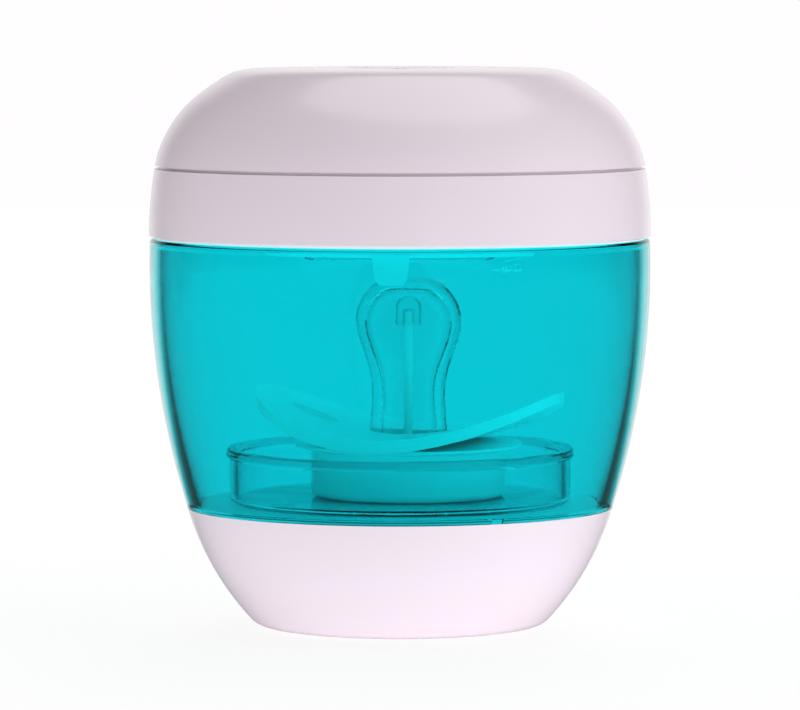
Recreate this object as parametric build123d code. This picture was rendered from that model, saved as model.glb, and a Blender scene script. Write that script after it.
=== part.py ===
import math
import os

from build123d import *

# Pacifier sterilizer case, in millimetres. The origin is at the middle of the foot,
# +Z is up, the front of the case looks along -Y and the hinge is behind, on +Y.

# Outer shape of the case, as radius and height
base_height = 18.3  # seam between base and bowl
bowl_height = 41.1  # from there to the lid's lower edge
band_height = 10.5  # from the lid's lower edge to the groove
cap_height = 15.1  # from the groove to the top
crown_rise = 0.15  # of the top's middle over its shoulder
crown_radius = 20.6  # where the flat top turns into the shoulder
crown_sagitta = 0.02
cap_shares = ((0.0, 0.0), (0.115, 0.36), (0.33, 0.665), (0.58, 0.872), (1.0, 1.0))
lid_radius = 38.05
band_taper = 0.9  # from the lid's edge up to the groove
band_bulge = 0.22
lid_overhang = 0.15  # of the lid over the bowl's rim
bowl_bulge = 1.75
base_radius = 32.3
base_bulge = 1.1
foot_radius = 20.2
foot_rounding = 2.6  # width of the rounding around the foot
foot_rounding_rise = 0.42  # its height, as a share of its width
foot_rounding_middle = (0.62, 0.13)  # a point on it, as shares of its width
seam_gap = 0.3  # between the lid's edge and the bowl's rim
edge_break = 0.25  # small roundings along the seams

# Walls
lid_wall = 2.0
bowl_wall = 1.9
base_wall = 2.2
groove_width = 0.5
groove_depth = 0.7
cap_skirt = 2.0  # of the cap's spigot below the groove
cap_spigot_root = 1.0  # of the spigot's thick part above the groove
cap_spigot_inset = 0.6  # of that part inside the cap's wall
cap_tongue_root = 1.2  # of its thin part above the groove
cap_tongue_inset = 1.4
cap_notch_depth = 12.0  # radial size of the notch for the board
cap_notch_setback = 4.0
cap_collar_wall = 1.2  # of the collar around the button
cap_collar_root = 0.5
cap_well_depth = 5.0

# Base
deck_rise = 0.8  # of the chamber's floor over the base's seam
deck_thickness = 2.4
fit_gap = 0.15  # between pieces that drop into one another
seal_section = 0.35  # radius of the seal's cord
foot_pad_radius = 17.5
foot_pad_thickness = 1.4
foot_pad_proud = 0.4  # of the base's underside
weight_radius = 10.8
weight_thickness = 8.0
base_screw_count = 3
base_screw_first = 30.0
base_screw_circle = 14.2
base_screw_radius = 1.25
base_screw_head = 2.3
base_screw_head_height = 1.4
base_screw_recess = 0.6  # of the screws' seats above the base's floor
base_screw_sink = 0.2  # of the shank into its head
base_screw_cross = (2.6, 0.7)
thread_core = 0.8  # a thread's core, as a share of the screw's radius
deck_boss_radius = 2.9
base_boss_height = 3.0
base_boss_root = 0.5  # of a boss inside the floor it stands on
deck_boss_cover = 1.0  # of the deck over the screws' holes
screw_end_gap = 0.4
deck_skirt = 2.6
deck_skirt_wall = 1.6
key_count = 3  # keys on the deck's edge that hold the bowl's place
key_first_angle = -63.0
key_width = 1.6
key_depth = 0.6
key_root = 1.5  # of a key inside the deck's edge
key_bar = 4.0

# Holder cup
holder_radius = 26.4
holder_wall = 1.2
holder_height = 8.3
holder_rim = 0.45  # the rim's bead stands out by this much
holder_rim_height = 1.1
holder_floor = 1.0
holder_corner = 1.2
holder_peg_circle = 19.5
holder_peg_radius = 1.6
holder_peg_depth = 1.4
holder_peg_count = 3
drain_count = 6
drain_length = 7.0
drain_width = 1.8
drain_circle = 8.0

# Hinge
hinge_setback = 2.15  # of the hinge axis behind the lid's widest circle
barrel_radius = 1.95
hinge_pin_radius = 0.95
hinge_running_gap = 0.06
barrel_half_length = 9.3
barrel_end_gap = 0.25
lug_half_span = 13.4
hinge_web_height = 4.2  # of the lugs' webs below the seam
hinge_leaf_height = 4.6
hinge_leaf_shoulder = 0.78  # where the leaf leaves the band, as a share of its height
hinge_leaf_out = 0.5  # of that place outside the band
hinge_leaf_lean = 35.0  # of the leaf's back, touching the barrel
hinge_web_lean = -25.0  # of the lug's underside, touching the eye
hinge_web_out = (0.2, 0.3)  # of the web's lower corner from the bowl's rim
magnet_radius = 1.1
magnet_length = 2.4
magnet_drop = 2.3  # of the magnet below the hinge axis
magnet_setback = 0.6  # of the magnet before the middle of the lug's web
hall_setback = 10.9  # of the sensor inside the bowl's outer face
hall_size = (4.0, 1.5, 3.0)
hall_leg = (0.45, 0.4, 0.8)
hall_leg_pitch = 1.2

# Latch
latch_offset = -1.3
latch_width_top = 5.7
latch_width_tip = 4.7
latch_reach = 5.6  # below the seam
latch_thickness = 1.1
latch_corner = 0.8
latch_gap = 0.45
latch_bump_drop = 4.6  # of the tongue's bump below the seam
latch_bump_radius = 1.0
latch_bump_proud = 0.35
latch_foot_margin = 1.6
latch_foot_depth = 2.0
latch_foot_height = 0.8
catch_drop = 2.8  # of the bowl's bump below the seam
catch_radius = 1.3
catch_proud = 0.3
bump_root = 0.5  # of either bump inside its wall

# Lid, underside and inside
rim_step = 0.7  # depth of the step in the bowl's rim
gasket_width = 0.95
gasket_gap = 0.12
gasket_neck = 0.9
gasket_flange = 0.18
gasket_edge = 0.4  # of the flange inside the bowl's outer face
gasket_notch_depth = 12.0
liner_thickness = 1.5
liner_lift = 0.2  # of the liner's underside above the seam
lid_boss_circle = 30.2
lid_boss_count = 4
lid_boss_radius = 2.6
lid_boss_height = 3.4  # of the band's bosses over the liner
lid_boss_root = 1.0  # of the cap's bosses over the groove
lid_screw_hole = 4.0  # of their holes over the groove
lid_arm_width = 1.6
lid_arm_root = 0.4
band_ledge = 1.2  # inner ledge that the liner is screwed to
band_ledge_root = 0.6
band_ledge_height = 1.0
lid_screw_radius = 1.0
lid_screw_head = 1.9
lid_screw_head_height = 0.7
lid_screw_length = 8.0
lid_screw_cross = (2.2, 0.5, 0.4)
lamp_radius = 21.0
lamp_drop = 2.2  # of the lamp's step below the seam
lamp_window = 12.2
lamp_flange = 2.0  # the bezel's flange under the liner
lamp_collar_wall = 1.5
lamp_collar_rise = 0.5  # of its collar over the liner
lamp_board_lift = 0.6  # of the lamp board over the liner's underside
lamp_screw_count = 3
lamp_screw_radius = 0.9
lamp_screw_inset = 1.3
lamp_corner = 0.8
lens_radius = 14.5
lens_thickness = 0.45
lens_boss_radius = 13.2  # of the smaller step between lens and bezel
lens_boss_height = 0.7
lens_grip_reach = 4.1  # of the finger grip beyond the lens
lens_grip_width = 3.0
lens_grip_height = 2.4
lens_grip_rounding = 0.8
lens_rib_radius = 0.42
lens_rib_pitch = 0.8
lens_rib_tilt = 12.0
lens_rib_length = 0.7  # of a rib, as a share of the grip's reach
lens_grip_root = 0.5  # of the grip inside the lens
reflector_inner = 8.2
reflector_sheet = 0.5
reflector_gap = 0.05
reflector_sagitta = 0.5
uv_board_radius = 13.0
uv_board_thickness = 1.6
uv_board_notch = 1.6
led_size = 3.5
led_height = 1.1
led_window_radius = 1.1
led_circle = 4.6
led_count = 3
board_radius = 26.8
board_thickness = 1.2
board_drop = 2.7  # of the main board's underside below the groove
board_notch_gap = 0.6  # around the lid's bosses
board_tongue_width = 12.0
board_tongue_gap = 0.5
board_socket_reach = 1.5  # of the socket's mouth beyond the board
battery_size = (34.0, 20.0, 4.4)
battery_shift = -8.0
battery_gap = 0.1
battery_rounding = 0.35  # as a share of its thickness
bracket_sheet = 0.5
bracket_foot = 3.0
bracket_width = 10.0
bracket_wrap = 0.75  # as a share of the cell's thickness
header_size = (6.0, 1.8, 2.2)
header_pin = 0.6
header_pitch = 2.0
header_gap = 2.0  # behind the cell

# Charging port, behind, over the hinge
port_width = 9.2
port_tall = 3.5
port_opening_width = 10.0
port_opening_tall = 4.3
socket_length = 7.3
socket_wall = 0.35
socket_back_wall = 1.5
socket_gap = 0.2
socket_tongue = (0.66, 0.8, 0.7)  # its share of the width, its setback and its thickness
cover_width = 13.0
cover_tall = 6.4
cover_thickness = 1.0
cover_gap = 0.2
cover_plug_depth = 1.2
cover_plug_gap = 0.45
cover_plug_bevel = 0.6  # as a share of the plug's depth
cover_face = 0.7  # where the flap's middle lies on the band's curve
cover_lip = (0.55, 2.5, 0.1, 0.8)  # radius, half length, setback and rise of the finger lip

# Button in the top
button_radius = 8.0
button_gap = 0.2
button_thickness = 1.6
button_travel = 0.6
button_stem_radius = 1.8
button_skirt = 1.6
button_skirt_wall = 1.0
button_dish_radius = 60.0
button_dish_depth = 0.35
button_drop = 0.02  # of the button's edge below the crown
button_root = 0.1
switch_size = 6.0
switch_height = 3.6
switch_plunger_radius = 1.5
switch_bore = 1.3
switch_rise = 0.9  # of the pressed plunger over its switch
switch_play = 0.15  # left under the plunger when the button is down
light_offset = 12.5
light_radius = 1.0
light_foot = 0.7
light_foot_height = 1.0
light_lift = 1.0  # of the light pipe over the board

# Pacifier
pacifier_shift = 1.3
pacifier_turn = -20.0  # about the vertical, its right end forward
pacifier_lift_gap = 0.1
knob_radius = 14.8
knob_height = 7.9
knob_flange_radius = 17.2
knob_flange = 0.9
knob_flange_edge = 0.4  # upright part of the flange's edge, as a share
shield_sink = 0.3  # of the shield into the knob
knob_rounding = 1.0
knob_hollow_radius = 11.0
knob_hollow_depth = 3.0
shield_length = 48.2
shield_depth = 35.0
shield_sagitta = 7.0
shield_thickness = 1.9
shield_taper = 1.06  # bend of its upper face, as a share of the lower one's
vent_offset = 15.2
vent_length = 7.6
vent_width = 5.0
teat_headroom = 6.2  # from the lid's lower edge down to the teat's tip
teat_stem_radius = 6.05
teat_bulb_radius = 8.05
teat_bulb_drop = 5.2  # of the bulb below the tip
teat_neck_drop = 14.2
teat_sink = 0.4  # of the teat's foot above the shield's underside
teat_flatness = 0.74
teat_wall = 1.7
core_radius = 0.65
core_drop = 5.0  # of the core's end below the teat's tip
nub_radius = 1.9
nub_gap = 0.06
nub_drop = 2.9
nub_length = 4.3
plug_gap = 0.05
plug_height = 0.6

# Worked out from the sizes above
seam_height = base_height + bowl_height
groove_height = seam_height + band_height
case_height = groove_height + cap_height
bowl_radius = lid_radius - lid_overhang
groove_radius = lid_radius - band_taper
bowl_top = seam_height - seam_gap
hinge_y = lid_radius + hinge_setback
hinge_z = seam_height - seam_gap / 2
liner_bottom = seam_height + liner_lift
liner_top = liner_bottom + liner_thickness
lamp_bottom = seam_height - lamp_drop
lamp_board_seat = liner_bottom + lamp_board_lift
board_height = groove_height - board_drop
deck_top = base_height + deck_rise
deck_bottom = deck_top - deck_thickness
holder_base = deck_top
pacifier_base = deck_top + holder_floor + pacifier_lift_gap
knob_top = pacifier_base + knob_height
teat_top = seam_height - teat_headroom
core_top = teat_top - core_drop
big = 4 * case_height


def outline_face(*edges):
    """A face in the XZ plane from edges drawn as (radius, height)."""
    return Plane.XZ * make_face(list(edges))


def turned(*edges):
    """A body of revolution about the case's axis."""
    return revolve(outline_face(*edges), Axis.Z)


def ring(inner, outer, low, high):
    """A plain ring or, with no inner radius, a disc."""
    body = Pos(0, 0, low) * Cylinder(outer, high - low, align=(Align.CENTER, Align.CENTER, Align.MIN))
    if inner > 0:
        body -= Pos(0, 0, low) * Cylinder(inner, high - low, align=(Align.CENTER, Align.CENTER, Align.MIN))
    return body


def post(x, y, radius, low, high):
    """An upright cylinder."""
    return Pos(x, y, 0) * ring(0, radius, low, high)


def block(size_x, size_y, size_z, x=0.0, y=0.0, z=0.0):
    """A box centred in x and y, standing on height z."""
    return Pos(x, y, z) * Box(size_x, size_y, size_z, align=(Align.CENTER, Align.CENTER, Align.MIN))


def bar_along_x(radius, x_low, x_high, y, z):
    """A cylinder along X."""
    return Pos((x_low + x_high) / 2, y, z) * Rot(0, 90, 0) * Cylinder(radius, x_high - x_low)


def side_profile(points, x_low, x_high):
    """A prism along X from (y, z) points."""
    face = Plane.YZ * make_face(Polyline(*points, close=True))
    return Pos(x_low, 0, 0) * extrude(face, x_high - x_low)


def inset(curve, wall, count=6):
    """The same curve, moved inwards by a wall."""
    points = []
    for i in range(count + 1):
        at = i / count
        along = curve.tangent_at(at)
        points.append(curve.position_at(at) + Vector(-along.Y, along.X) * wall)
    return Spline(*points)


def around(count, radius, first=0.0):
    """Places evenly spaced on a circle, as (x, y)."""
    angles = [math.radians(first + 360 * i / count) for i in range(count)]
    return [(radius * math.cos(a), radius * math.sin(a)) for a in angles]


# Outer curves of the case, drawn upwards as (radius, height)
def base_curve():
    start = (foot_radius + foot_rounding, foot_pad_proud + foot_rounding * foot_rounding_rise)
    return SagittaArc(start, (base_radius, base_height), -base_bulge)


def bowl_curve():
    return SagittaArc((base_radius, base_height), (bowl_radius, bowl_top), -bowl_bulge)


def band_curve():
    return SagittaArc((lid_radius, seam_height), (groove_radius, groove_height), -band_bulge)


def cap_curve(wall=0.0):
    """The dome from the groove to the flat top or, with a wall, its inside."""
    edge = groove_radius - wall
    wide = edge - (crown_radius - 0.4 * wall)
    tall = case_height - crown_rise - groove_height - wall
    points = [(edge - wide * x, groove_height + tall * z) for x, z in cap_shares]
    return Spline(*points, tangents=[(-0.16, 1.0), (-1.0, 0.02)])


def radius_at(curve, height):
    """Radius of a rising curve at a height."""
    low, high = 0.0, 1.0
    for _ in range(20):
        middle = (low + high) / 2
        if curve.position_at(middle).Y < height:
            low = middle
        else:
            high = middle
    return curve.position_at(low).X


def bowl_inner_radius(height):
    return radius_at(inset(bowl_curve(), bowl_wall), height)


def base_inner_radius(height):
    return radius_at(inset(base_curve(), base_wall), height)


# Base

def base_screw_places():
    return around(base_screw_count, base_screw_circle, base_screw_first)


def make_base_shell():
    outer = base_curve()
    inner = inset(outer, base_wall)
    foot = foot_pad_proud
    across, up = foot_rounding_middle
    middle = (foot_radius + foot_rounding * across, foot + foot_rounding * up)
    corner = ThreePointArc((foot_radius, foot), middle, outer @ 0)
    floor = foot + base_wall
    inner_low = inner @ 0
    shell = turned(
        Line((0, foot), (foot_radius, foot)),
        corner,
        outer,
        Line(outer @ 1, (base_radius - base_wall, base_height)),
        Line((base_radius - base_wall, base_height), inner @ 1),
        inner,
        Line(inner_low, (inner_low.X - base_wall, floor)),
        Line((inner_low.X - base_wall, floor), (0, floor)),
        Line((0, floor), (0, foot)),
    )
    shell -= ring(0, big, base_height, big)
    shell -= ring(0, foot_pad_radius + fit_gap, foot - 1, foot + foot_pad_thickness - foot_pad_proud)
    for x, y in base_screw_places():
        shell += post(x, y, deck_boss_radius, floor - base_boss_root, floor + base_boss_height)
        shell -= post(x, y, base_screw_radius + fit_gap, -1, floor + base_boss_height + 1)
        shell -= post(x, y, base_screw_head + fit_gap, -1, floor + base_screw_recess)
    return shell


def make_foot_pad():
    pad = ring(0, foot_pad_radius, 0, foot_pad_thickness)
    return chamfer(pad.edges().group_by(Axis.Z)[0], edge_break)


def make_base_weight():
    low = foot_pad_proud + base_wall
    weight = ring(0, weight_radius, low, low + weight_thickness)
    return chamfer(weight.edges().filter_by(GeomType.CIRCLE), edge_break * 2)


def deck_radius():
    """Radius of the deck's upper edge, which stands inside the bowl."""
    return bowl_inner_radius(base_height) - fit_gap


def seal_ring():
    """The seal in its groove, standing out to the bowl's wall."""
    seal = Torus(deck_radius() + fit_gap - seal_section, seal_section)
    return Pos(0, 0, (deck_top + base_height) / 2) * seal


def deck_keys(gap=0.0):
    """The keys on the deck's edge or, with a gap, the slots for them."""
    reach = deck_radius() + key_depth + gap
    rim = ring(deck_radius() - key_root, reach, base_height, deck_top + gap)
    keys = []
    for i in range(key_count):
        bar = block(key_bar, key_width + 2 * gap, big, reach - key_root, 0, 0)
        keys.append(Rot(0, 0, key_first_angle + 360 * i / key_count) * bar & rim)
    return keys


def make_base_deck():
    skirt_low = deck_bottom - deck_skirt
    skirt_radius = base_inner_radius(skirt_low) - fit_gap
    deck = ring(0, base_inner_radius(deck_bottom) - fit_gap, deck_bottom, base_height)
    deck += ring(0, deck_radius(), base_height, deck_top)
    for key in deck_keys():
        deck += key
    deck -= seal_ring()
    deck += ring(skirt_radius - deck_skirt_wall, skirt_radius, skirt_low, deck_bottom)
    for x, y in base_screw_places():
        deck += post(x, y, deck_boss_radius, foot_pad_proud + base_wall + base_boss_height, deck_bottom)
        deck -= post(x, y, base_screw_radius, 0, deck_bottom - deck_boss_cover)
    for x, y in holder_peg_places():
        deck -= post(x, y, holder_peg_radius, deck_top - holder_peg_depth, deck_top + 1)
    return deck


def make_base_screws():
    screws = []
    seat = foot_pad_proud + base_wall + base_screw_recess
    head_low = seat - base_screw_head_height
    long, wide = base_screw_cross
    end = deck_bottom - deck_boss_cover - screw_end_gap
    for x, y in base_screw_places():
        screw = post(x, y, base_screw_radius, seat - base_screw_sink, end)
        head = post(x, y, base_screw_head, head_low, seat)
        cross = block(wide, long, wide, x, y, head_low) + block(long, wide, wide, x, y, head_low)
        screws.append(screw + head - cross)
    return Compound(children=screws)


# Bowl

def hinge_lug(x_low, x_high):
    """One lug of the bowl's hinge: a round eye on a web that grows out of the wall."""
    root_y = math.sqrt((bowl_radius - bowl_wall / 2) ** 2 - x_low**2 / 2 - x_high**2 / 2)
    low = bowl_top - hinge_web_height
    lean = math.radians(hinge_web_lean)
    out, up = hinge_web_out
    web = side_profile(
        [
            (root_y, low),
            (bowl_radius + out, low + up),
            (hinge_y + barrel_radius * math.cos(lean), hinge_z + barrel_radius * math.sin(lean)),
            (hinge_y, hinge_z),
            (hinge_y - barrel_radius * 0.5, bowl_top),
            (root_y, bowl_top),
        ],
        x_low,
        x_high,
    )
    return web + bar_along_x(barrel_radius, x_low, x_high, hinge_y, hinge_z)


def make_bowl():
    outer = bowl_curve()
    inner = inset(outer, bowl_wall)
    top_in = bowl_radius - bowl_wall
    step_out = gasket_outer_radius() + gasket_gap
    step_low = bowl_top - rim_step
    bottom_out = outer @ 0
    bottom_in = inner @ 0
    bowl = turned(
        Line((bottom_in.X, base_height), (bottom_out.X - edge_break, base_height)),
        Line((bottom_out.X - edge_break, base_height), (bottom_out.X, base_height + edge_break)),
        Line((bottom_out.X, base_height + edge_break), outer @ 0.01),
        Spline(*[outer @ (0.01 + 0.98 * i / 5) for i in range(6)]),
        Line(outer @ 0.99, (bowl_radius - edge_break, bowl_top)),
        Line((bowl_radius - edge_break, bowl_top), (step_out, bowl_top)),
        Line((step_out, bowl_top), (step_out, step_low)),
        Line((step_out, step_low), (top_in, step_low)),
        Line((top_in, step_low), inner @ 0.97),
        Spline(*[inner @ (0.97 - 0.96 * i / 5) for i in range(6)]),
        Line(inner @ 0.01, (bottom_in.X, base_height)),
    )
    outer_half = barrel_half_length + barrel_end_gap
    for x_low, x_high in ((-lug_half_span, -outer_half), (outer_half, lug_half_span)):
        bowl += hinge_lug(x_low, x_high)
    bowl -= bar_along_x(hinge_pin_radius, -big, big, hinge_y, hinge_z)
    bowl -= magnet_body(fit_gap / 3)
    bowl -= ring(top_in, step_out, step_low, bowl_top + 1)
    for slot in deck_keys(fit_gap):
        bowl -= slot
    catch_z = seam_height - catch_drop
    bowl += snap_bump(catch_radius, catch_proud, -bowl_inner_radius(catch_z), catch_z, 1)
    return bowl


def snap_bump(radius, proud, y, z, side):
    """A low round bump on a wall at y, towards +Y or, with side -1, towards -Y."""
    ball_radius = (radius**2 + proud**2) / (2 * proud)
    ball = Pos(latch_offset, y + side * (proud - ball_radius), z) * Sphere(ball_radius)
    middle = y + side * (proud - bump_root) / 2
    return ball & block(4 * radius, proud + bump_root, 4 * radius, latch_offset, middle, z - 2 * radius)


def magnet_body(gap=0.0):
    y = (bowl_radius + hinge_y) / 2 - magnet_setback
    inner_end = lug_half_span - magnet_length
    return bar_along_x(magnet_radius + gap, inner_end, lug_half_span, y, hinge_z - magnet_drop)


def make_hinge_pin():
    pin = bar_along_x(hinge_pin_radius, -lug_half_span, lug_half_span, hinge_y, hinge_z)
    return chamfer(pin.edges().filter_by(GeomType.CIRCLE), edge_break)


# Holder cup

def holder_peg_places():
    return around(holder_peg_count, holder_peg_circle, 90)


def make_holder_cup():
    top = holder_base + holder_height
    outer = holder_radius - holder_rim
    inner = outer - holder_wall
    rim_low = top - holder_rim_height
    cup = turned(
        Line((0, holder_base), (outer - holder_corner, holder_base)),
        RadiusArc((outer - holder_corner, holder_base), (outer, holder_base + holder_corner), -holder_corner),
        Line((outer, holder_base + holder_corner), (outer, rim_low - holder_rim)),
        Line((outer, rim_low - holder_rim), (holder_radius, rim_low)),
        Line((holder_radius, rim_low), (holder_radius, top - edge_break)),
        Line((holder_radius, top - edge_break), (holder_radius - edge_break, top)),
        Line((holder_radius - edge_break, top), (inner + edge_break, top)),
        Line((inner + edge_break, top), (inner, top - edge_break)),
        Line((inner, top - edge_break), (inner, holder_base + holder_floor)),
        Line((inner, holder_base + holder_floor), (0, holder_base + holder_floor)),
        Line((0, holder_base + holder_floor), (0, holder_base)),
    )
    slot = extrude(SlotOverall(drain_length, drain_width), holder_floor * 4, both=True)
    for i in range(drain_count):
        cup -= Rot(0, 0, 360 * i / drain_count) * Pos(drain_circle, 0, holder_base) * slot
    for x, y in holder_peg_places():
        cup += post(x, y, holder_peg_radius, holder_base - holder_peg_depth, holder_base + holder_floor)
    return cup


# Lid

def gasket_outer_radius():
    return bowl_radius - bowl_wall + gasket_width


def lid_boss_places():
    return around(lid_boss_count, lid_boss_circle, 45)


def port_height():
    return board_height - port_tall / 2


def cover_top():
    return port_height() + cover_tall / 2


def band_solid(wall):
    """The band's outer form, drawn in by a wall, as a full body."""
    curve = inset(band_curve(), wall) if wall else band_curve()
    low, high = curve @ 0, curve @ 1
    return turned(Line((0, low.Y), low), curve, Line(high, (0, high.Y)), Line((0, high.Y), (0, low.Y)))


def make_lid_band():
    outer = band_curve()
    inner = inset(outer, lid_wall)
    top = groove_height - groove_width / 2
    band = turned(
        Line((lid_radius - lid_wall, seam_height), (lid_radius - edge_break, seam_height)),
        Line((lid_radius - edge_break, seam_height), outer @ 0.02),
        Spline(*[outer @ (0.02 + 0.98 * i / 4) for i in range(5)]),
        Line(outer @ 1, (groove_radius - lid_wall, groove_height)),
        Line((groove_radius - lid_wall, groove_height), inner @ 1),
        Spline(*[inner @ (1 - i / 4) for i in range(5)]),
        Line(inner @ 0, (lid_radius - lid_wall, seam_height)),
    )
    band -= ring(0, big, top, big)
    inner_low = inner @ 0
    ledge_top = liner_top + band_ledge_height
    band += ring(inner_low.X - band_ledge, inner_low.X + band_ledge_root, liner_top, ledge_top)
    arm_length = inner_low.X - lid_boss_circle + lid_arm_root
    arm_middle = lid_boss_circle + arm_length / 2
    boss_top = liner_top + lid_boss_height
    for x, y in lid_boss_places():
        angle = math.degrees(math.atan2(y, x))
        arm = block(arm_length, lid_arm_width, lid_boss_height, arm_middle, 0, liner_top)
        band += Rot(0, 0, angle) * arm + post(x, y, lid_boss_radius, liner_top, boss_top)
        band -= post(x, y, lid_screw_radius + fit_gap, liner_top - 1, boss_top + 1)
    # hinge leaf and barrel
    root_y = math.sqrt((lid_radius - lid_wall / 2) ** 2 - barrel_half_length**2 / 2)
    lean = math.radians(hinge_leaf_lean)
    tip = (hinge_y + barrel_radius * math.cos(lean), hinge_z + barrel_radius * math.sin(lean))
    leaf_points = [
        (root_y, seam_height),
        (hinge_y, seam_height),
        tip,
        (lid_radius + hinge_leaf_out, seam_height + hinge_leaf_height * hinge_leaf_shoulder),
        (root_y, seam_height + hinge_leaf_height),
    ]
    half = barrel_half_length
    band += side_profile(leaf_points, -half, half)
    band += bar_along_x(barrel_radius, -half, half, hinge_y, hinge_z)
    band -= bar_along_x(hinge_pin_radius + hinge_running_gap, -big, big, hinge_y, hinge_z)
    # recess of the port's flap, and the port's opening
    wide, tall = cover_width + 2 * cover_gap, cover_tall + 2 * cover_gap
    recess = block(wide, lid_radius / 2, tall, 0, lid_radius, port_height() - tall / 2)
    band -= recess - band_solid(cover_thickness + cover_gap)
    low = port_height() - port_opening_tall / 2
    band -= block(port_opening_width, lid_radius / 2, port_opening_tall, 0, lid_radius, low)
    return band


def make_port_cover():
    """A soft flap that follows the band's curve, with a plug behind and a pin along its upper edge."""
    low = port_height() - cover_tall / 2
    flap = block(cover_width, lid_radius / 2, cover_tall, 0, lid_radius, low) & band_solid(0)
    flap -= band_solid(cover_thickness)
    plug_width = port_opening_width - 2 * cover_plug_gap
    plug_tall = port_opening_tall - 2 * cover_plug_gap
    root = cover_thickness / 2
    middle = cover_back_y() + (root - cover_plug_depth) / 2
    plug = block(plug_width, cover_plug_depth + root, plug_tall, 0, middle, port_height() - plug_tall / 2)
    bevel = cover_plug_depth * cover_plug_bevel
    plug = chamfer(plug.edges().filter_by(Axis.X).group_by(Axis.Y)[0], bevel)
    # finger lip along the lower edge
    radius, half, setback, rise = cover_lip
    lip = bar_along_x(radius, -half, half, cover_front_y() - setback, low + rise)
    return flap + plug + lip


def cover_front_y():
    return band_curve().position_at(cover_face).X


def cover_back_y():
    return cover_front_y() - cover_thickness


def make_lid_cap():
    outer, inner = cap_curve(), cap_curve(lid_wall)
    low = groove_height + groove_width / 2
    crown = SagittaArc(outer @ 1, (0, case_height), crown_sagitta)
    inner_top = inner @ 1
    cap = turned(
        outer,
        crown,
        Line((0, case_height), (0, inner_top.Y)),
        Line((0, inner_top.Y), inner_top),
        Spline(*[inner @ (1 - i / 5) for i in range(6)]),
        Line(inner @ 0, outer @ 0),
    )
    cap -= ring(0, big, 0, low)
    # spigot that drops inside the band and closes the groove from behind
    inner_low = inner @ 0
    spigot_out = groove_radius - groove_depth
    spigot_in = inner_low.X - cap_spigot_inset
    spigot = ring(spigot_in, spigot_out, groove_height - groove_width / 2, low + cap_spigot_root)
    skirt_out = inset(band_curve(), lid_wall).position_at(1).X - fit_gap
    tongue_top = low + cap_tongue_root
    tongue = ring(inner_low.X - cap_tongue_inset, skirt_out, groove_height - cap_skirt, tongue_top)
    notch_width = board_tongue_width + 2 * board_tongue_gap
    tongue -= block(notch_width, cap_notch_depth, big, 0, groove_radius - cap_notch_setback, 0)
    cap += spigot + (tongue & ring(0, spigot_out, 0, tongue_top))
    # screw bosses
    boss_low = liner_top + lid_boss_height
    dome = turned(
        inner,
        Line(inner @ 1, (0, inner_top.Y)),
        Line((0, inner_top.Y), (0, groove_height)),
        Line((0, groove_height), (inner_low.X, groove_height)),
    )
    for x, y in lid_boss_places():
        boss = post(x, y, lid_boss_radius, groove_height, case_height)
        cap += boss & dome
        cap += post(x, y, lid_boss_radius, boss_low, groove_height + lid_boss_root)
        cap -= post(x, y, lid_screw_radius * thread_core, boss_low - 1, groove_height + lid_screw_hole)
    # well of the button, with a collar that guides it
    collar_out = button_radius + button_gap + cap_collar_wall
    collar_low = inner_top.Y - button_skirt - button_travel
    cap += ring(button_radius, collar_out, collar_low, inner_top.Y + cap_collar_root)
    well_low = inner_top.Y - cap_well_depth
    cap -= ring(0, button_radius + button_gap, well_low, big)
    cap -= post(0, -light_offset, light_radius + fit_gap / 3, well_low, big)
    return cap


def make_lid_liner():
    outer = lid_radius - lid_wall - fit_gap
    liner = ring(0, outer, liner_bottom, liner_top)
    liner -= ring(0, lamp_radius - lamp_flange, liner_bottom - 1, big)
    for x, y in lid_boss_places():
        liner -= post(x, y, lid_screw_radius + fit_gap, liner_bottom - 1, big)
        liner -= post(x, y, lid_screw_head + fit_gap, liner_bottom - 1, liner_bottom + lid_screw_head_height)
    for x, y in lamp_screw_places():
        liner -= post(x, y, lamp_screw_radius, liner_bottom - 1, big)
    return liner


def make_lid_gasket():
    """A soft ring under the liner's edge: a neck, a lip over the rim's step and a thin flange."""
    low = bowl_top - rim_step + gasket_gap
    neck_out = lid_radius - lid_wall - fit_gap
    neck_in = neck_out - gasket_neck
    lip_in = bowl_radius - bowl_wall - fit_gap
    gasket = ring(neck_in, neck_out, low, liner_bottom)
    gasket += ring(neck_in, gasket_outer_radius(), low, seam_height)
    gasket += ring(lip_in, bowl_radius - gasket_edge, seam_height - gasket_flange, seam_height)
    notch_width = latch_width_top + latch_foot_margin + 2 * fit_gap
    notch = block(notch_width, gasket_notch_depth, big, latch_offset, -lip_in, 0) & ring(0, lip_in, 0, big)
    return gasket - notch


def make_lid_screws():
    screws = []
    long, wide, deep = lid_screw_cross
    for x, y in lid_boss_places():
        head = post(x, y, lid_screw_head, liner_bottom, liner_bottom + lid_screw_head_height)
        shank = post(x, y, lid_screw_radius * thread_core, liner_bottom, liner_bottom + lid_screw_length)
        cross = block(wide, long, deep, x, y, liner_bottom) + block(long, wide, deep, x, y, liner_bottom)
        screws.append(head + shank - cross)
    return Compound(children=screws)


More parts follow.
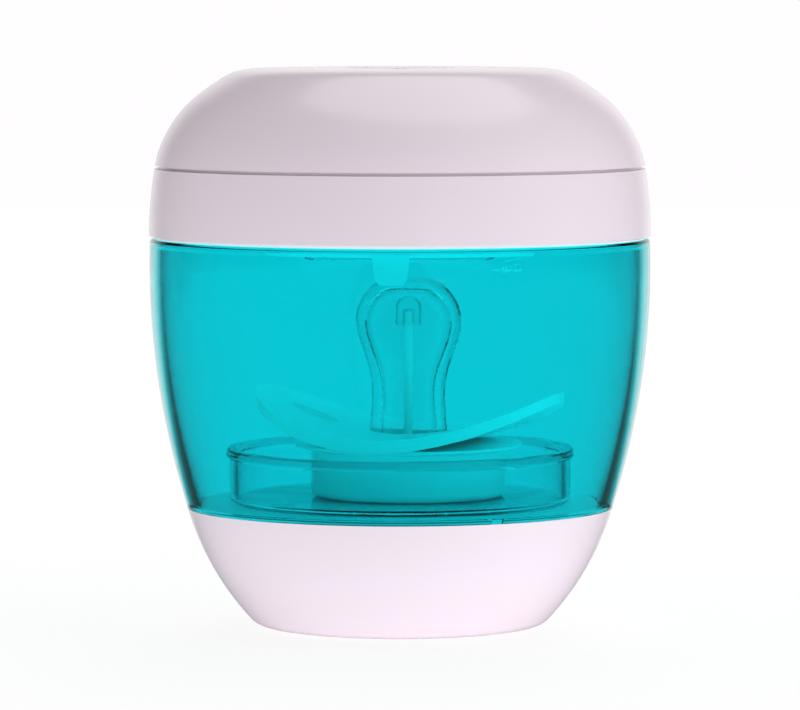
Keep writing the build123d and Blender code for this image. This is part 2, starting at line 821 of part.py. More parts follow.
def make_latch_tongue():
    """A tapered springy tongue whose bump snaps under the bowl's bump."""
    y_out = -(bowl_inner_radius(seam_height - latch_reach) - latch_gap)
    top = liner_bottom
    tip = seam_height - latch_reach
    front = Plane.XZ * make_face(
        Polyline(
            (-latch_width_top / 2, top),
            (latch_width_top / 2, top),
            (latch_width_tip / 2, tip + latch_corner),
            (latch_width_tip / 2 - latch_corner, tip),
            (-latch_width_tip / 2 + latch_corner, tip),
            (-latch_width_tip / 2, tip + latch_corner),
            close=True,
        )
    )
    tongue = Pos(latch_offset, y_out + latch_thickness, 0) * extrude(front, latch_thickness)
    bump = snap_bump(latch_bump_radius, latch_bump_proud, y_out, seam_height - latch_bump_drop, -1)
    foot_y = y_out + latch_thickness + latch_foot_depth / 2
    foot_width = latch_width_top + latch_foot_margin
    foot_low = liner_bottom - latch_foot_height
    foot = block(foot_width, latch_foot_depth, latch_foot_height, latch_offset, foot_y, foot_low)
    return tongue + bump + foot


def lamp_screw_places():
    return around(lamp_screw_count, lamp_radius - lamp_screw_inset, 90)


def make_lamp_housing():
    """A stepped round bezel that hangs below the liner and holds lens, reflector and lamp board."""
    step_low = lamp_bottom
    board_seat = lamp_board_seat
    collar_out = lamp_radius - lamp_flange - fit_gap
    collar_top = liner_top + lamp_collar_rise
    housing = turned(
        Line((lamp_window, step_low), (lamp_radius - lamp_corner, step_low)),
        Line((lamp_radius - lamp_corner, step_low), (lamp_radius, step_low + lamp_corner)),
        Line((lamp_radius, step_low + lamp_corner), (lamp_radius, liner_bottom)),
        Line((lamp_radius, liner_bottom), (collar_out, liner_bottom)),
        Line((collar_out, liner_bottom), (collar_out, collar_top)),
        Line((collar_out, collar_top), (collar_out - lamp_collar_wall, collar_top)),
        Line((collar_out - lamp_collar_wall, collar_top), (collar_out - lamp_collar_wall, board_seat)),
        Line((collar_out - lamp_collar_wall, board_seat), (lamp_window, board_seat)),
        Line((lamp_window, board_seat), (lamp_window, step_low)),
    )
    return housing


def make_lamp_lens():
    """A thin clear disc on a smaller step, with a ribbed finger grip at its right edge."""
    top = lamp_bottom - lens_boss_height
    low = top - lens_thickness
    lens = ring(0, lens_radius, low, top) + ring(0, lens_boss_radius, top, lamp_bottom)
    length = lens_grip_reach + lens_grip_root
    grip_x = lens_radius + (lens_grip_reach - lens_grip_root) / 2
    middle = top - lens_grip_height / 2
    grip = block(length, lens_grip_width, lens_grip_height, grip_x, 0, top - lens_grip_height)
    grip = fillet(grip.edges().filter_by(Axis.X).group_by(Axis.Z)[0], lens_grip_rounding)
    grip = fillet(grip.edges().group_by(Axis.X)[-1], lens_grip_rounding / 2)
    rib_length = lens_grip_reach * lens_rib_length
    for step in (-1, 0, 1):
        place = Pos(grip_x + lens_grip_root, -lens_grip_width / 2, middle + step * lens_rib_pitch)
        grip += place * Rot(0, 90 - lens_rib_tilt, 0) * Cylinder(lens_rib_radius, rib_length)
    return lens + grip


def make_lamp_reflector():
    """A thin dish from the window's edge up to the lamp board."""
    low = lamp_bottom + reflector_gap
    high = lamp_board_seat
    wide = lamp_window - reflector_gap
    narrow = reflector_inner
    sheet = reflector_sheet
    return turned(
        SagittaArc((wide, low), (narrow, high), reflector_sagitta),
        Line((narrow, high), (narrow + sheet, high)),
        SagittaArc((narrow + sheet, high), (wide, low + sheet), -reflector_sagitta),
        Line((wide, low + sheet), (wide, low)),
    )


def make_uv_board():
    low = lamp_board_seat
    board = ring(0, uv_board_radius, low, low + uv_board_thickness)
    for x, y in around(2, uv_board_radius, 0):
        board -= post(x, y, uv_board_notch, low - 1, low + uv_board_thickness + 1)
    return board


def make_uv_leds():
    """Lamp packages under the board: a square base with a small domed window."""
    top = lamp_board_seat
    packages = []
    for x, y in around(led_count, led_circle, 90):
        base = block(led_size, led_size, led_height, x, y, top - led_height)
        dome = Pos(x, y, top - led_height) * Sphere(led_window_radius)
        packages.append(base + dome)
    return Compound(children=packages)


def make_main_board():
    board = ring(0, board_radius, board_height, board_height + board_thickness)
    reach = socket_back() + socket_length - board_socket_reach
    board += block(board_tongue_width, reach, board_thickness, 0, reach / 2, board_height)
    for x, y in lid_boss_places():
        board -= post(x, y, lid_boss_radius + board_notch_gap, 0, big)
    return board


def socket_back():
    return cover_back_y() - cover_gap - cover_plug_depth - socket_length - socket_gap


def make_charge_socket():
    """The metal mouth of the charging socket, with its tongue inside."""
    y = socket_back()
    z = port_height()
    outline = Plane.XZ * SlotOverall(port_width, port_tall)
    mouth = Plane.XZ * SlotOverall(port_width - 2 * socket_wall, port_tall - 2 * socket_wall)
    shell = extrude(outline, -socket_length) - Pos(0, socket_back_wall, 0) * extrude(mouth, -socket_length)
    share, setback, thick = socket_tongue
    middle = (Align.CENTER, Align.MIN, Align.CENTER)
    tongue = Box(port_width * share, socket_length - setback, thick, align=middle)
    return Pos(0, y, z) * (shell + tongue)


def make_battery_cell():
    length, width, thick = battery_size
    cell = block(length, width, thick, 0, battery_shift, battery_bottom())
    return fillet(cell.edges().filter_by(Axis.Y), thick * battery_rounding)


def battery_bottom():
    return lamp_board_seat + uv_board_thickness + battery_gap


def make_battery_bracket():
    """A folded strap over the cell, with two feet on the main board's underside."""
    length, width, thick = battery_size
    top = battery_bottom() + thick
    wrap = thick * bracket_wrap
    span = length + 2 * bracket_sheet
    strap_top = top + bracket_sheet
    band = block(span, bracket_width, wrap + bracket_sheet, 0, battery_shift, top - wrap)
    band -= block(length, bracket_width + 2, wrap, 0, battery_shift, top - wrap)
    feet = block(span, bracket_width, board_height - strap_top, 0, battery_shift, strap_top)
    feet -= block(span - 2 * bracket_foot, bracket_width + 2, big, 0, battery_shift, strap_top)
    return band + feet


def make_board_header():
    """The row of pins that joins lamp board and main board."""
    low = lamp_board_seat + uv_board_thickness
    length, width, height = header_size
    header = block(length, width, height, 0, header_y(), low)
    for step in (-1, 0, 1):
        header += block(header_pin, header_pin, board_height - low, step * header_pitch, header_y(), low)
    return header


def header_y():
    return battery_shift + battery_size[1] / 2 + header_gap


def switch_top():
    return board_height + board_thickness + switch_height


def make_tact_switch():
    body = block(switch_size, switch_size, switch_height, 0, 0, switch_top() - switch_height)
    bore_radius = switch_plunger_radius + hinge_running_gap
    bore = post(0, 0, bore_radius, switch_top() - switch_bore, switch_top() + 1)
    return body - bore


def make_switch_plunger():
    """The switch's own plunger, which goes down with the button."""
    low = switch_top() - switch_bore + button_travel + switch_play
    plunger = post(0, 0, switch_plunger_radius, low, button_stem_low())
    return chamfer(plunger.edges().group_by(Axis.Z)[-1], edge_break)


def make_hall_sensor():
    """The sensor over the magnet, which tells when the lid is shut."""
    x = lug_half_span - magnet_length / 2
    y = bowl_radius - hall_setback
    length, width, height = hall_size
    leg_length, leg_width, leg_height = hall_leg
    sensor = block(length, width, height, x, y, liner_top + leg_height)
    for step in (-1, 0, 1):
        sensor += block(leg_length, leg_width, leg_height, x + step * hall_leg_pitch, y, liner_top)
    return sensor


def make_light_pipe():
    """A clear rod from the board's light to the top of the dome."""
    low = board_height + board_thickness + light_lift
    top = case_height - crown_rise / 2
    rod = post(0, -light_offset, light_radius, low, top)
    return rod + post(0, -light_offset, light_radius + light_foot, low, low + light_foot_height)


def button_stem_low():
    return switch_top() + button_travel + switch_rise


def make_power_button():
    """A shallow dished button with a skirt and a stem that reaches down to the switch."""
    top = case_height - button_drop
    plate = ring(0, button_radius, top - button_thickness, top)
    plate = fillet(plate.edges().group_by(Axis.Z)[-1], edge_break)
    plate -= Pos(0, 0, top + button_dish_radius - button_dish_depth) * Sphere(button_dish_radius)
    skirt_top = top - button_thickness
    plate += ring(button_radius - button_skirt_wall, button_radius, skirt_top - button_skirt, skirt_top)
    return plate + post(0, 0, button_stem_radius, button_stem_low(), skirt_top + button_root)


# Pacifier

def pacifier_place():
    return Pos(pacifier_shift, 0, 0) * Rot(0, 0, pacifier_turn)


def make_pacifier_knob():
    low = pacifier_base
    flange_low = knob_top - knob_flange
    edge_low = knob_top - knob_flange * knob_flange_edge
    knob = ring(0, knob_radius, low, knob_top)
    knob = fillet(knob.edges().group_by(Axis.Z)[0], knob_rounding)
    knob += turned(
        Line((0, flange_low), (knob_radius, flange_low)),
        Line((knob_radius, flange_low), (knob_flange_radius, edge_low)),
        Line((knob_flange_radius, edge_low), (knob_flange_radius, knob_top)),
        Line((knob_flange_radius, knob_top), (0, knob_top)),
        Line((0, knob_top), (0, flange_low)),
    ) & block(knob_flange_radius * 2, knob_radius * 2, big, 0, 0, 0)
    knob -= ring(0, knob_hollow_radius, low - 1, low + knob_hollow_depth)
    knob -= shield_slab(shield_under(), shield_bend_radius(), shield_bend_radius(), knob_radius)
    return pacifier_place() * knob


def shield_under():
    return knob_top - shield_sink


def shield_bend_radius():
    half = shield_length / 2
    return (half**2 + shield_sagitta**2) / (2 * shield_sagitta)


def shield_slab(low, bend, inner_bend, thickness):
    """A plate bent up at both ends about an axis along Y; its lowest line is at height low."""
    outer = Pos(0, 0, low + bend) * Rot(90, 0, 0) * Cylinder(bend, shield_depth * 2)
    inner_axis = low + thickness + inner_bend
    inner = Pos(0, 0, inner_axis) * Rot(90, 0, 0) * Cylinder(inner_bend, shield_depth * 3)
    return (outer - inner) & block(shield_length * 2, shield_depth * 3, bend, 0, 0, low - 1)


def make_pacifier_shield():
    """A curved oval plate with rounded edges, two air vents and the teat's hole."""
    bend = shield_bend_radius()
    plate = shield_slab(shield_under(), bend, bend * shield_taper, shield_thickness)
    shield = plate & extrude(Ellipse(shield_length / 2, shield_depth / 2), big)
    for side in (-1, 1):
        shield -= Pos(side * vent_offset, 0, 0) * extrude(Ellipse(vent_length / 2, vent_width / 2), big)
    shield -= extrude(Ellipse(teat_stem_radius, teat_stem_radius * teat_flatness), big)
    return pacifier_place() * shield


def teat_side(wall):
    """The teat's outline from its foot to its tip, drawn in by a wall."""
    stem = teat_stem_radius - wall
    bulb = teat_bulb_radius - wall
    tip = teat_top - wall
    widest = teat_top - teat_bulb_drop
    return Spline(
        (stem, teat_foot()),
        (stem * 1.005, teat_top - teat_neck_drop),
        (bulb, widest),
        (bulb * 0.66, widest + (tip - widest) * 0.8),
        (0, tip),
        tangents=[(0, 1), (-1, 0)],
    )


def teat_foot():
    return shield_under() + teat_sink


def make_pacifier_teat():
    """A hollow orthodontic teat, flattened front to back."""
    outer, inner = teat_side(0), teat_side(teat_wall)
    teat = turned(outer, Line(outer @ 1, inner @ 1), inner, Line(inner @ 0, outer @ 0))
    return pacifier_place() * scale(teat, by=(1, teat_flatness, 1))


def make_pacifier_stem():
    """The thin core inside the teat, on a plug in the shield's hole."""
    low = teat_foot()
    core = ring(0, core_radius, low, core_top)
    core = fillet(core.edges().group_by(Axis.Z)[-1], core_radius / 2)
    plug = ring(0, teat_stem_radius - teat_wall - plug_gap, low, low + plug_height)
    return pacifier_place() * (core + scale(plug, by=(1, teat_flatness, 1)))


def make_pacifier_nub():
    """A clear round cap on the core's end."""
    top = teat_top - nub_drop
    low = top - nub_length
    middle = top - nub_radius
    nub = ring(0, nub_radius, low, middle)
    nub += Pos(0, 0, middle) * Sphere(nub_radius) & ring(0, big, middle, big)
    nub -= ring(0, core_radius + nub_gap, low - 1, core_top)
    return pacifier_place() * nub


PIECES = {
    "base_shell": make_base_shell,
    "foot_pad": make_foot_pad,
    "base_weight": make_base_weight,
    "base_deck": make_base_deck,
    "base_screws": make_base_screws,
    "bowl_seal": seal_ring,
    "bowl": make_bowl,
    "holder_cup": make_holder_cup,
    "hinge_pin": make_hinge_pin,
    "interlock_magnet": magnet_body,
    "lid_band": make_lid_band,
    "lid_cap": make_lid_cap,
    "lid_liner": make_lid_liner,
    "lid_gasket": make_lid_gasket,
    "lid_screws": make_lid_screws,
    "latch_tongue": make_latch_tongue,
    "lamp_housing": make_lamp_housing,
    "lamp_lens": make_lamp_lens,
    "lamp_reflector": make_lamp_reflector,
    "uv_board": make_uv_board,
    "uv_leds": make_uv_leds,
    "main_board": make_main_board,
    "board_header": make_board_header,
    "tact_switch": make_tact_switch,
    "switch_plunger": make_switch_plunger,
    "hall_sensor": make_hall_sensor,
    "light_pipe": make_light_pipe,
    "charge_socket": make_charge_socket,
    "battery_cell": make_battery_cell,
    "battery_bracket": make_battery_bracket,
    "port_cover": make_port_cover,
    "power_button": make_power_button,
    "pacifier_knob": make_pacifier_knob,
    "pacifier_shield": make_pacifier_shield,
    "pacifier_teat": make_pacifier_teat,
    "pacifier_stem": make_pacifier_stem,
    "pacifier_nub": make_pacifier_nub,
}

os.makedirs("parts", exist_ok=True)
for name, make in PIECES.items():
    export_step(make(), f"parts/{name}.step")
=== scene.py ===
import math

import bpy
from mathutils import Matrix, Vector

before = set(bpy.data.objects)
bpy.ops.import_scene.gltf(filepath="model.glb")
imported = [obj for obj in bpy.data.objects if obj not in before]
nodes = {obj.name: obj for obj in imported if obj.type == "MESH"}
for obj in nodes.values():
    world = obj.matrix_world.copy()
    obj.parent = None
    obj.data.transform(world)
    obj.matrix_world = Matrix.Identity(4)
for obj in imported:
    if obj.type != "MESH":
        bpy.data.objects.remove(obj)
scene = bpy.context.scene
scene.view_settings.view_transform = "Standard"
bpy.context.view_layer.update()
print("stage: frame loaded,", len(nodes), "nodes")

cameraSettings = {
    "distance": 0.833,  # from the case's axis
    "height": 0.097,
    "aimHeight": 0.0413,
    "lens": 247.5,
    "sensor": 36.0,
    "clipStart": 0.05,
    "clipEnd": 100,
}


def makeCamera(settings):
    data = bpy.data.cameras.new("camera")
    data.lens = settings["lens"]
    data.sensor_width = settings["sensor"]
    data.clip_start = settings["clipStart"]
    data.clip_end = settings["clipEnd"]
    camera = bpy.data.objects.new("camera", data)
    scene.collection.objects.link(camera)
    camera.location = (0, -settings["distance"], settings["height"])
    aim = Vector((0, 0, settings["aimHeight"])) - camera.location
    camera.rotation_mode = "QUATERNION"
    camera.rotation_quaternion = aim.to_track_quat("-Z", "Y")
    scene.camera = camera


makeCamera(cameraSettings)

stageSettings = {
    "floorRadius": 1.6,
    "floorCorners": 64,
    "floorColour": (0.80, 0.79, 0.80, 1),
    "nearWhite": 0.84,  # share of plain white in the seen floor, near the object and far off
    "farWhite": 1.0,
    "nearRadius": 0.07,
    "farRadius": 0.15,
    "worldLight": 0.42,
    "worldColour": (1.0, 0.985, 1.0, 1),
    "glowColour": (0.86, 0.85, 0.86, 1),
    "glowNear": 1.0,  # light from the bright floor around the foot and farther off
    "glowFar": 0.80,
    "glowNearRadius": 0.035,
    "glowFarRadius": 0.10,
    "shinyLight": 0.04,  # the dark studio in front, as shiny surfaces show it
    "behindFrom": 0.76,  # how far a direction turns to +Y before it meets the white backdrop
    "behindTo": 0.97,
}

lampSettings = {
    "aim": (0, 0, 0.04),
    "colour": (1.0, 0.985, 1.0),
    "reflected": "topLamp",  # the only lamp that shiny surfaces show
    "lamps": (  # name, place, size, watts
        ("frontLamp", (0.30, -0.95, 0.13), 0.25, 1.0),
        ("rightLamp", (0.8, -0.2, 0.35), 0.7, 1.5),
        ("topLamp", (0.08, 0.12, 0.85), 0.9, 3.0),
        ("backLamp", (0.15, 0.9, 0.5), 0.6, 3.0),
    ),
}


def addNode(tree, kind, operation=None, **values):
    node = tree.nodes.new(kind)
    if operation:
        node.operation = operation
    for key, value in values.items():
        node.inputs[key].default_value = value
    return node


def larger(tree, first, second):
    node = addNode(tree, "ShaderNodeMath", "MAXIMUM")
    tree.links.new(first, node.inputs[0])
    tree.links.new(second, node.inputs[1])
    return node.outputs[0]


def mixValues(tree, factor, first, second):
    node = tree.nodes.new("ShaderNodeMix")
    tree.links.new(factor, node.inputs["Factor"])
    for socket, value in (("A", first), ("B", second)):
        if isinstance(value, float):
            node.inputs[socket].default_value = value
        else:
            tree.links.new(value, node.inputs[socket])
    return node.outputs["Result"]


def mixShaders(tree, factor, first, second):
    node = tree.nodes.new("ShaderNodeMixShader")
    tree.links.new(factor, node.inputs[0])
    tree.links.new(first.outputs[0], node.inputs[1])
    tree.links.new(second.outputs[0], node.inputs[2])
    return node


def behindFactor(tree, direction, settings):
    axes = tree.nodes.new("ShaderNodeSeparateXYZ")
    tree.links.new(direction, axes.inputs[0])
    node = tree.nodes.new("ShaderNodeMapRange")
    node.interpolation_type = "SMOOTHSTEP"
    tree.links.new(axes.outputs["Y"], node.inputs["Value"])
    names = (("From Min", "behindFrom"), ("From Max", "behindTo"), ("To Min", "shinyLight"))
    for socket, name in names:
        node.inputs[socket].default_value = settings[name]
    return node.outputs[0]


def makeFloor(settings):
    radius, count = settings["floorRadius"], settings["floorCorners"]
    corners = []
    for i in range(count):
        angle = math.tau * i / count
        corners.append((radius * math.cos(angle), radius * math.sin(angle), 0))
    mesh = bpy.data.meshes.new("floor")
    mesh.from_pydata(corners, [], [tuple(range(count))])
    floor = bpy.data.objects.new("floor", mesh)
    scene.collection.objects.link(floor)
    material = bpy.data.materials.new("floor")
    material.use_nodes = True
    tree = material.node_tree
    tree.nodes.clear()
    path = tree.nodes.new("ShaderNodeLightPath")
    place = tree.nodes.new("ShaderNodeTexCoord")
    distance = addNode(tree, "ShaderNodeVectorMath", "LENGTH")
    direction = addNode(tree, "ShaderNodeVectorMath", "NORMALIZE")
    for node in (distance, direction):
        tree.links.new(place.outputs["Object"], node.inputs[0])
    ranges = []
    for names in (
        ("nearRadius", "farRadius", "nearWhite", "farWhite"),
        ("glowNearRadius", "glowFarRadius", "glowNear", "glowFar"),
    ):
        node = tree.nodes.new("ShaderNodeMapRange")
        node.interpolation_type = "SMOOTHSTEP"
        tree.links.new(distance.outputs["Value"], node.inputs["Value"])
        for socket, name in zip(("From Min", "From Max", "To Min", "To Max"), names):
            node.inputs[socket].default_value = settings[name]
        ranges.append(node)
    outward, glowing = ranges
    # shiny surfaces show a dark floor, but for the white part behind
    behind = behindFactor(tree, direction.outputs[0], settings)
    shinyWhite = addNode(tree, "ShaderNodeMath", "MULTIPLY")
    tree.links.new(outward.outputs[0], shinyWhite.inputs[0])
    tree.links.new(behind, shinyWhite.inputs[1])
    white = mixValues(tree, path.outputs["Is Glossy Ray"], outward.outputs[0], shinyWhite.outputs[0])
    tone = mixValues(tree, path.outputs["Is Glossy Ray"], 1.0, behind)
    matt = addNode(tree, "ShaderNodeBsdfDiffuse", Color=settings["floorColour"])
    bright = addNode(tree, "ShaderNodeEmission", Color=settings["glowColour"])
    tree.links.new(glowing.outputs[0], bright.inputs["Strength"])
    plain = tree.nodes.new("ShaderNodeAddShader")
    tree.links.new(matt.outputs[0], plain.inputs[0])
    tree.links.new(bright.outputs[0], plain.inputs[1])
    lit = tree.nodes.new("ShaderNodeBsdfDiffuse")
    tree.links.new(tone, lit.inputs["Color"])
    glow = addNode(tree, "ShaderNodeEmission", Color=(1, 1, 1, 1), Strength=1.0)
    spread = mixShaders(tree, white, lit, glow)
    seen = larger(tree, path.outputs["Is Camera Ray"], path.outputs["Is Glossy Ray"])
    seen = larger(tree, seen, path.outputs["Is Transmission Ray"])
    either = mixShaders(tree, seen, plain, spread)
    output = tree.nodes.new("ShaderNodeOutputMaterial")
    tree.links.new(either.outputs[0], output.inputs["Surface"])
    mesh.materials.append(material)


def makeWorld(settings):
    world = bpy.data.worlds.new("world")
    scene.world = world
    world.use_nodes = True
    tree = world.node_tree
    tree.nodes.clear()
    path = tree.nodes.new("ShaderNodeLightPath")
    place = tree.nodes.new("ShaderNodeTexCoord")
    behind = behindFactor(tree, place.outputs["Generated"], settings)
    shiny = mixValues(tree, path.outputs["Is Glossy Ray"], settings["worldLight"], behind)
    seen = larger(tree, path.outputs["Is Camera Ray"], path.outputs["Is Transmission Ray"])
    strength = mixValues(tree, seen, shiny, 1.0)
    background = addNode(tree, "ShaderNodeBackground", Color=settings["worldColour"])
    tree.links.new(strength, background.inputs["Strength"])
    output = tree.nodes.new("ShaderNodeOutputWorld")
    tree.links.new(background.outputs[0], output.inputs["Surface"])


def makeLamps(settings):
    for name, place, size, watts in settings["lamps"]:
        data = bpy.data.lights.new(name, "AREA")
        data.shape = "DISK"
        data.size = size
        data.energy = watts
        data.color = settings["colour"]
        lamp = bpy.data.objects.new(name, data)
        scene.collection.objects.link(lamp)
        lamp.location = place
        lamp.visible_camera = False
        lamp.visible_glossy = name == settings["reflected"]
        lamp.visible_transmission = False
        aim = Vector(settings["aim"]) - lamp.location
        lamp.rotation_mode = "QUATERNION"
        lamp.rotation_quaternion = aim.to_track_quat("-Z", "Y")


makeFloor(stageSettings)
makeWorld(stageSettings)
makeLamps(lampSettings)
print("stage: camera, floor and lamps")


def newMaterial(name):
    material = bpy.data.materials.new(name)
    material.use_nodes = True
    tree = material.node_tree
    tree.nodes.clear()
    output = tree.nodes.new("ShaderNodeOutputMaterial")
    shader = tree.nodes.new("ShaderNodeBsdfPrincipled")
    tree.links.new(shader.outputs[0], output.inputs["Surface"])
    return material, tree, shader, output


def addGroup(tree, group, **values):
    node = tree.nodes.new("ShaderNodeGroup")
    node.node_tree = group
    for name, value in values.items():
        node.inputs[name].default_value = value
    return node


surfaceSettings = {
    "cloudDetail": 4,
    "grainDetail": 2,
    "bumpDistance": 0.0001,
    "coatRoughness": 0.08,
    "inputs": (
        ("Colour", "NodeSocketColor", (0.8, 0.8, 0.8, 1)),
        ("Roughness", "NodeSocketFloat", 0.3),
        ("Tone", "NodeSocketFloat", 0.03),
        ("Gloss", "NodeSocketFloat", 0.06),
        ("CloudScale", "NodeSocketFloat", 60.0),
        ("GrainScale", "NodeSocketFloat", 2500.0),
        ("GrainDepth", "NodeSocketFloat", 0.02),
    ),
    "outputs": (
        ("Colour", "NodeSocketColor"),
        ("Roughness", "NodeSocketFloat"),
        ("Normal", "NodeSocketVector"),
    ),
}


def makeSurfaceGroup(settings):
    # shared wear: cloudy change of tone and gloss, and a fine bump
    group = bpy.data.node_groups.new("mouldedSurface", "ShaderNodeTree")
    face, links = group.interface, group.links
    for name, kind, value in settings["inputs"]:
        socket = face.new_socket(name, in_out="INPUT", socket_type=kind)
        socket.default_value = value
    for name, kind in settings["outputs"]:
        face.new_socket(name, in_out="OUTPUT", socket_type=kind)
    start = group.nodes.new("NodeGroupInput")
    end = group.nodes.new("NodeGroupOutput")
    place = group.nodes.new("ShaderNodeTexCoord")
    cloud = addNode(group, "ShaderNodeTexNoise", Detail=settings["cloudDetail"])
    grain = addNode(group, "ShaderNodeTexNoise", Detail=settings["grainDetail"])
    for texture, scaleName in ((cloud, "CloudScale"), (grain, "GrainScale")):
        links.new(place.outputs["Object"], texture.inputs["Vector"])
        links.new(start.outputs[scaleName], texture.inputs["Scale"])

    def centred(source, amount):
        minus = addNode(group, "ShaderNodeMath", "SUBTRACT")
        minus.inputs[1].default_value = 0.5
        links.new(source, minus.inputs[0])
        times = addNode(group, "ShaderNodeMath", "MULTIPLY")
        links.new(minus.outputs[0], times.inputs[0])
        links.new(amount, times.inputs[1])
        return times.outputs[0]

    value = addNode(group, "ShaderNodeMath", "ADD")
    value.inputs[1].default_value = 1.0
    links.new(centred(cloud.outputs[0], start.outputs["Tone"]), value.inputs[0])
    tint = group.nodes.new("ShaderNodeHueSaturation")
    links.new(start.outputs["Colour"], tint.inputs["Color"])
    links.new(value.outputs[0], tint.inputs["Value"])
    links.new(tint.outputs[0], end.inputs["Colour"])
    roughness = addNode(group, "ShaderNodeMath", "ADD")
    roughness.use_clamp = True
    links.new(centred(cloud.outputs[0], start.outputs["Gloss"]), roughness.inputs[0])
    links.new(start.outputs["Roughness"], roughness.inputs[1])
    links.new(roughness.outputs[0], end.inputs["Roughness"])
    bump = addNode(group, "ShaderNodeBump", Distance=settings["bumpDistance"])
    links.new(start.outputs["GrainDepth"], bump.inputs["Strength"])
    links.new(grain.outputs[0], bump.inputs["Height"])
    links.new(bump.outputs[0], end.inputs["Normal"])
    return group


surfaceGroup = makeSurfaceGroup(surfaceSettings)


def addSurface(tree, shader, colour, roughness, surface):
    node = addGroup(tree, surfaceGroup, Colour=(*colour, 1), Roughness=roughness, **surface)
    for source, socket in (("Colour", "Base Color"), ("Roughness", "Roughness"), ("Normal", "Normal")):
        tree.links.new(node.outputs[source], shader.inputs[socket])
    return node


def solidMaterial(name, colour, roughness, metallic=0.0, coat=0.0, **surface):
    material, tree, shader, output = newMaterial(name)
    addSurface(tree, shader, colour, roughness, surface)
    shader.inputs["Metallic"].default_value = metallic
    shader.inputs["Coat Weight"].default_value = coat
    shader.inputs["Coat Roughness"].default_value = surfaceSettings["coatRoughness"]
    return material


def paintedEdgeShade(tree, settings, colour):
    # painted shade: the colour darkens towards the edges that turn away from the view, in place of the
    # dark bands that refraction shows there
    weight = tree.nodes.new("ShaderNodeLayerWeight")
    ramp = tree.nodes.new("ShaderNodeValToRGB")
    elements = ramp.color_ramp.elements
    for i, (place, shade) in enumerate(settings):
        element = elements[i] if i < 2 else elements.new(place)
        element.position = place
        element.color = (shade * colour[0], shade * colour[1], shade * colour[2], 1)
    tree.links.new(weight.outputs["Facing"], ramp.inputs[0])
    return ramp.outputs[0]


def paintedRimShade(tree, settings, colour):
    # painted shade: above a given height the colour turns darker, in place of the rim looking darker
    # where it is seen edge-on
    place = tree.nodes.new("ShaderNodeTexCoord")
    axes = tree.nodes.new("ShaderNodeSeparateXYZ")
    tree.links.new(place.outputs["Object"], axes.inputs[0])
    height = tree.nodes.new("ShaderNodeMapRange")
    tree.links.new(axes.outputs["Z"], height.inputs["Value"])
    height.inputs["From Min"].default_value = settings["low"]
    height.inputs["From Max"].default_value = settings["high"]
    mix = tree.nodes.new("ShaderNodeMix")
    mix.data_type = "RGBA"
    tree.links.new(height.outputs[0], mix.inputs["Factor"])
    mix.inputs["A"].default_value = (*colour, 1)
    mix.inputs["B"].default_value = (*settings["colour"], 1)
    return mix.outputs["Result"]


def clearMaterial(
    name, colour, roughness, refraction, shadow,
    density=0.0, absorbed=(1, 1, 1), edgeShade=None, rimShade=None, **surface
):
    # clear plastic or silicone; the light of lamps and of matt surfaces goes straight through
    material, tree, shader, output = newMaterial(name)
    surfaceNode = addSurface(tree, shader, colour, roughness, surface)
    # painted shade: the darker edges come from the colour, not from the silicone's own tint
    if edgeShade:
        tree.links.new(paintedEdgeShade(tree, edgeShade, colour), surfaceNode.inputs["Colour"])
    # painted shade: a darker colour band at the top of the wall
    if rimShade:
        tree.links.new(paintedRimShade(tree, rimShade, colour), surfaceNode.inputs["Colour"])
    shader.inputs["Transmission Weight"].default_value = 1.0
    shader.inputs["IOR"].default_value = refraction
    path = tree.nodes.new("ShaderNodeLightPath")
    through = addNode(tree, "ShaderNodeBsdfTransparent", Color=(*shadow, 1))
    straight = larger(tree, path.outputs["Is Shadow Ray"], path.outputs["Is Diffuse Ray"])
    mix = mixShaders(tree, straight, shader, through)
    tree.links.new(mix.outputs[0], output.inputs["Surface"])
    if density:
        volume = addNode(tree, "ShaderNodeVolumeAbsorption", Color=(*absorbed, 1), Density=density)
        tree.links.new(volume.outputs[0], output.inputs["Volume"])
    return material


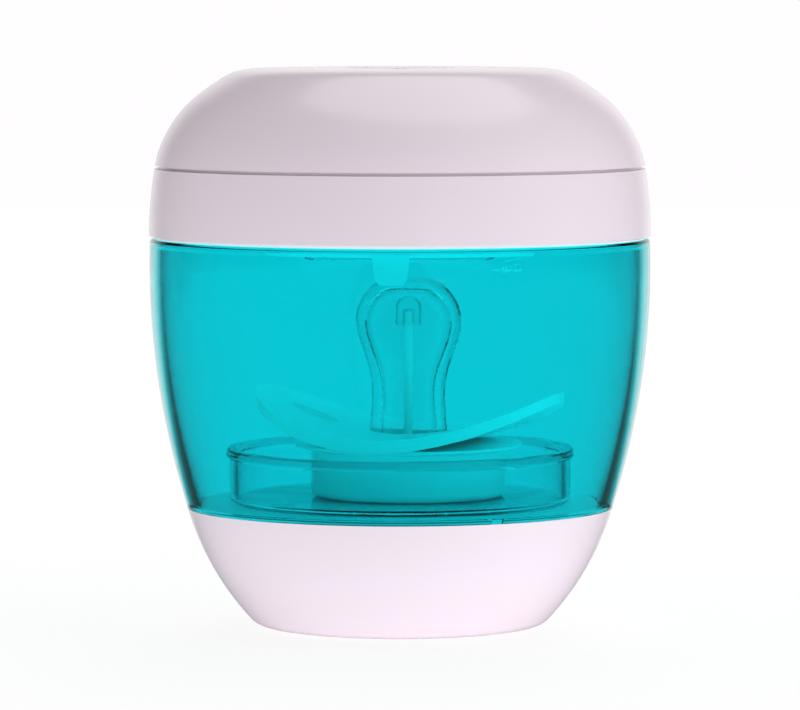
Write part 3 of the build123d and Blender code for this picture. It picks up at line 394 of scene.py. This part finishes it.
materials = {
    "shell": solidMaterial("shellPlastic", (0.78, 0.70, 0.76), 0.26, coat=0.2, Tone=0.008, Gloss=0.02),
    "liner": solidMaterial("linerPlastic", (0.92, 0.90, 0.92), 0.45, Tone=0.03),
    "bowl": clearMaterial(
        "bowlPlastic", (0.015, 0.80, 0.86), 0.02, 1.5, shadow=(0.35, 1.0, 1.0),
        density=60.0, absorbed=(0.2, 0.85, 0.88),
    ),
    "cup": clearMaterial(
        "cupPlastic", (0.80, 0.96, 0.97), 0.04, 1.2, shadow=(0.75, 0.95, 0.96),
        # painted shade: a darker colour on the cup's rim
        rimShade={"low": 0.02622, "high": 0.02636, "colour": (0.4, 0.74, 0.77)},
    ),
    "lens": clearMaterial("lensPlastic", (0.98, 1.0, 1.0), 0.04, 1.15, shadow=(0.95, 0.98, 0.99)),
    "silicone": clearMaterial(
        "clearSilicone", (0.98, 1.0, 1.0), 0.08, 1.12, shadow=(0.96, 0.98, 0.98),
        # painted shade at the teat's edges: the colour steps darker as the surface turns away
        edgeShade=((0.0, 0.96), (0.22, 1.0), (0.36, 1.0), (0.44, 0.84), (1.0, 0.78)),
    ),
    "nub": clearMaterial("clearNub", (1.0, 1.0, 1.0), 0.35, 1.2, shadow=(0.96, 0.98, 0.98)),
    "whiteSilicone": solidMaterial("whiteSilicone", (0.90, 0.88, 0.90), 0.55, Tone=0.03),
    "greySilicone": solidMaterial("greySilicone", (0.22, 0.23, 0.24), 0.6, Tone=0.05),
    "pacifier": solidMaterial("pacifierPlastic", (0.92, 0.97, 0.98), 0.25, Tone=0.03),
    "steel": solidMaterial("steel", (0.60, 0.60, 0.61), 0.28, metallic=1.0, Tone=0.08, Gloss=0.12),
    "mirror": solidMaterial("reflectorMetal", (0.88, 0.88, 0.90), 0.12, metallic=1.0),
    "boardGreen": solidMaterial("boardGreen", (0.02, 0.16, 0.07), 0.35, Tone=0.06),
    "boardWhite": solidMaterial("boardWhite", (0.78, 0.78, 0.75), 0.4),
    "black": solidMaterial("blackPlastic", (0.02, 0.02, 0.022), 0.42),
    "ledWindow": clearMaterial("ledWindow", (0.85, 0.88, 0.95), 0.05, 1.5, shadow=(0.9, 0.9, 0.95)),
    "foil": solidMaterial("batteryFoil", (0.62, 0.63, 0.65), 0.34, metallic=0.9, Tone=0.05, Gloss=0.15),
}

nodeMaterials = {
    "shell": ("base_shell", "lid_band", "lid_cap", "power_button"),
    "liner": ("base_deck", "lid_liner", "latch_tongue", "lamp_housing"),
    "bowl": ("bowl",),
    "cup": ("holder_cup",),
    "lens": ("lamp_lens", "light_pipe"),
    "silicone": ("pacifier_teat",),
    "nub": ("pacifier_nub",),
    "whiteSilicone": ("lid_gasket", "port_cover"),
    "greySilicone": ("foot_pad", "bowl_seal"),
    "pacifier": ("pacifier_knob", "pacifier_shield", "pacifier_stem"),
    "steel": (
        "base_weight", "base_screws", "hinge_pin", "interlock_magnet",
        "lid_screws", "charge_socket", "battery_bracket",
    ),
    "mirror": ("lamp_reflector",),
    "boardGreen": ("main_board",),
    "boardWhite": ("uv_board",),
    "black": ("board_header", "tact_switch", "switch_plunger", "hall_sensor"),
    "ledWindow": ("uv_leds",),
    "foil": ("battery_cell",),
}

for materialName, nodeNames in nodeMaterials.items():
    for nodeName in nodeNames:
        for slot in nodes[nodeName].material_slots:
            slot.material = materials[materialName]
print("stage: materials")
